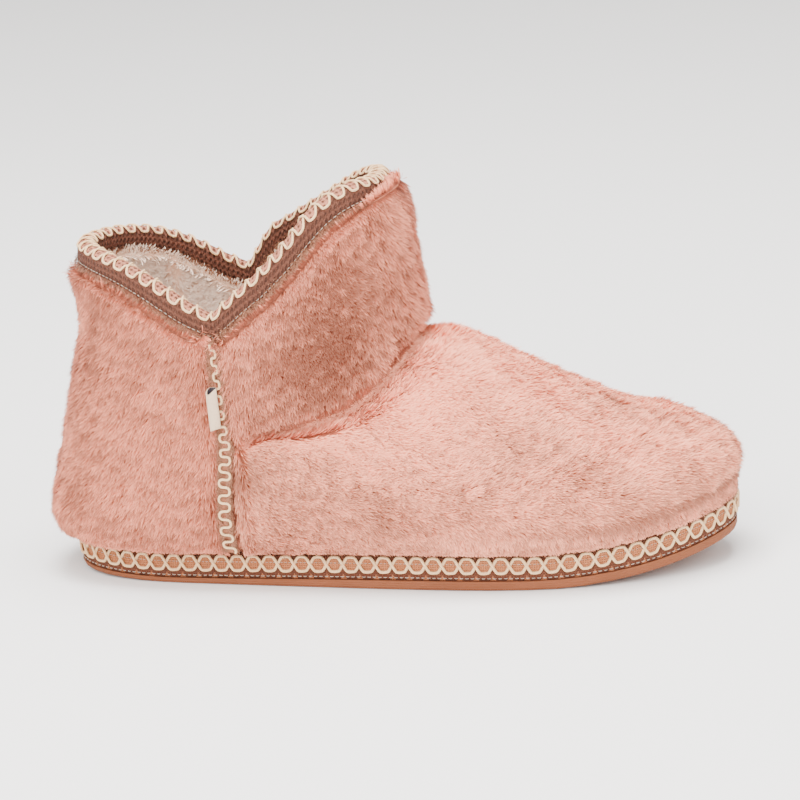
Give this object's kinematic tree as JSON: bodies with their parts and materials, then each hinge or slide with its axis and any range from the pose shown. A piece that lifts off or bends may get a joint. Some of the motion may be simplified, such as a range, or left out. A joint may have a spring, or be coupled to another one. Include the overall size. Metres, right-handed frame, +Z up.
{
  "type": "bootie slipper",
  "caption": "Plush faux-fur bootie slipper with a notched collar and woven tape round the collar, side seams and sole; right shoe.",
  "frame": {"origin": "on the flat underside of the sole, at mid-length on the line the sole's outline is drawn from", "axes": "+X towards the toe, +Y towards the inner side of the foot, +Z up"},
  "size_m": [0.2679, 0.1071, 0.1533],
  "materials": {
    "outsole": "matt",
    "insole": "brushed fleece",
    "fur": "short dense plush",
    "tape": "woven with cream yarn",
    "label": "woven ribbon"
  },
  "bodies": {
    "root": {"outsole": "outsole", "insole": "insole", "upper": "fur", "sole_trim": "tape", "collar_trim": "tape", "side_trim_lateral": "tape", "side_trim_medial": "tape", "tab_label": "label"}
  },
  "joints": []
}
